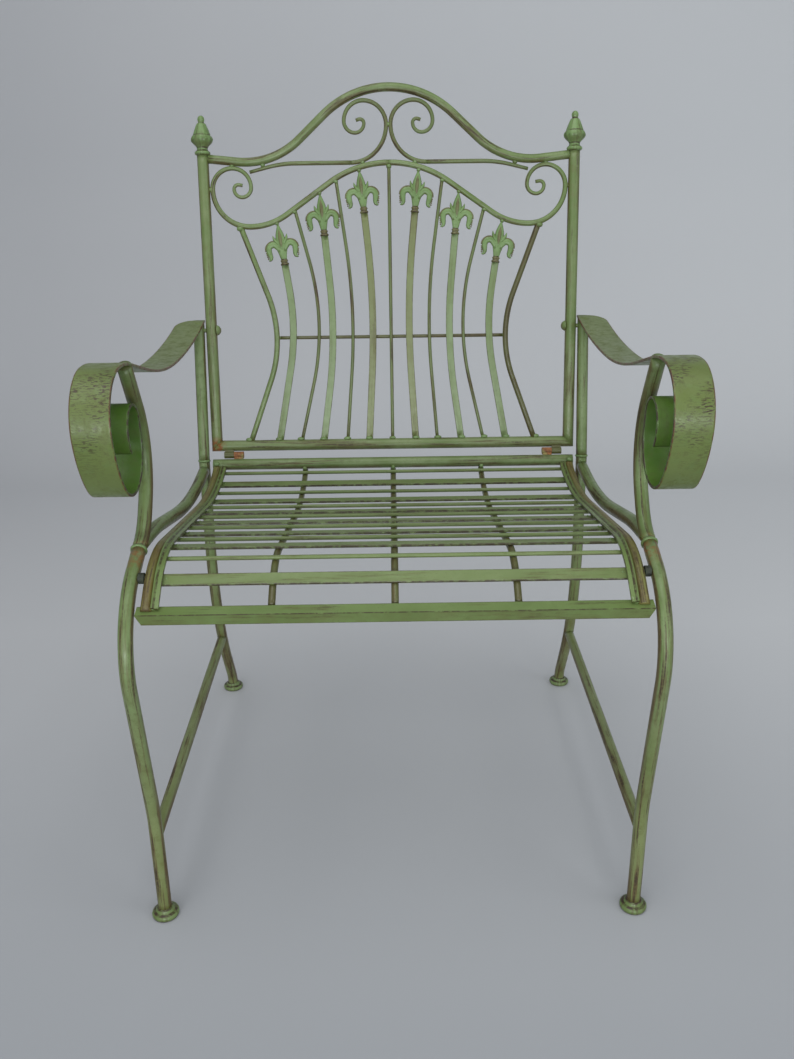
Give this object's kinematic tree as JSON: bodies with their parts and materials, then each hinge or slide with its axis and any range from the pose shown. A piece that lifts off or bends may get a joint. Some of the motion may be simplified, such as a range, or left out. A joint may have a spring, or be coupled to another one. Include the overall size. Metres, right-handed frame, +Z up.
{
  "type": "slatted metal garden armchair",
  "caption": "Green painted iron garden armchair with a slatted dished seat, flat scrolled arms and an openwork back of bowed bars under fleurs-de-lis, rusty and worn.",
  "frame": {"origin": "on the floor, at the middle of the chair's outline seen from above", "axes": "+X is the viewer's right when the chair is seen from the front, +Y runs to the back, +Z is up"},
  "size_m": [0.624, 0.5959, 0.9447],
  "materials": {
    "worn_paint": "thin green paint, streaked and rubbed through to dark brown and rust on edges and undersides",
    "rusty_paint": "green paint mostly worn away to brown oxide",
    "painted_casting": "green paint on a rough casting, brown in the hollows and on the edges",
    "rust": "bare rusted iron",
    "fastener_paint": "painted over, dark and worn"
  },
  "bodies": {
    "root": {"left_front_leg": "worn_paint", "right_front_leg": "worn_paint", "left_arm_support": "worn_paint", "right_arm_support": "worn_paint", "left_rear_leg": "worn_paint", "right_rear_leg": "worn_paint", "left_rear_post": "worn_paint", "right_rear_post": "worn_paint", "left_side_rail": "worn_paint", "right_side_rail": "worn_paint", "left_stretcher": "worn_paint", "right_stretcher": "worn_paint", "left_arm_strap": "worn_paint", "right_arm_strap": "worn_paint", "feet": "worn_paint", "front_angle": "worn_paint", "rear_seat_rail": "worn_paint", "left_slat_band": "worn_paint", "right_slat_band": "worn_paint", "flat_slats": "worn_paint", "round_slats": "worn_paint", "left_stile": "worn_paint", "right_stile": "worn_paint", "back_bottom_rail": "worn_paint", "top_rail": "worn_paint", "arch_rod": "worn_paint", "left_upper_scroll": "worn_paint", "right_upper_scroll": "worn_paint", "left_outer_rod": "worn_paint", "right_outer_rod": "worn_paint", "cross_rod": "worn_paint", "flat_bar_1": "worn_paint", "flat_bar_2": "worn_paint", "flat_bar_3": "worn_paint", "flat_bar_4": "worn_paint", "flat_bar_5": "worn_paint", "flat_bar_6": "worn_paint", "thin_rod_1": "worn_paint", "thin_rod_2": "worn_paint", "thin_rod_3": "worn_paint", "thin_rod_4": "worn_paint", "thin_rod_5": "worn_paint", "left_seat_tube": "rusty_paint", "right_seat_tube": "rusty_paint", "left_seat_support": "rusty_paint", "centre_seat_support": "rusty_paint", "right_seat_support": "rusty_paint", "hinge_back_knuckles": "rusty_paint", "finials": "painted_casting", "fleur_1": "painted_casting", "fleur_2": "painted_casting", "fleur_3": "painted_casting", "fleur_4": "painted_casting", "fleur_5": "painted_casting", "fleur_6": "painted_casting", "hinge_seat_knuckles": "rust", "hinge_pins": "rust", "arm_bolts": "fastener_paint", "arm_nuts": "fastener_paint", "seat_studs": "fastener_paint"}
  },
  "joints": []
}
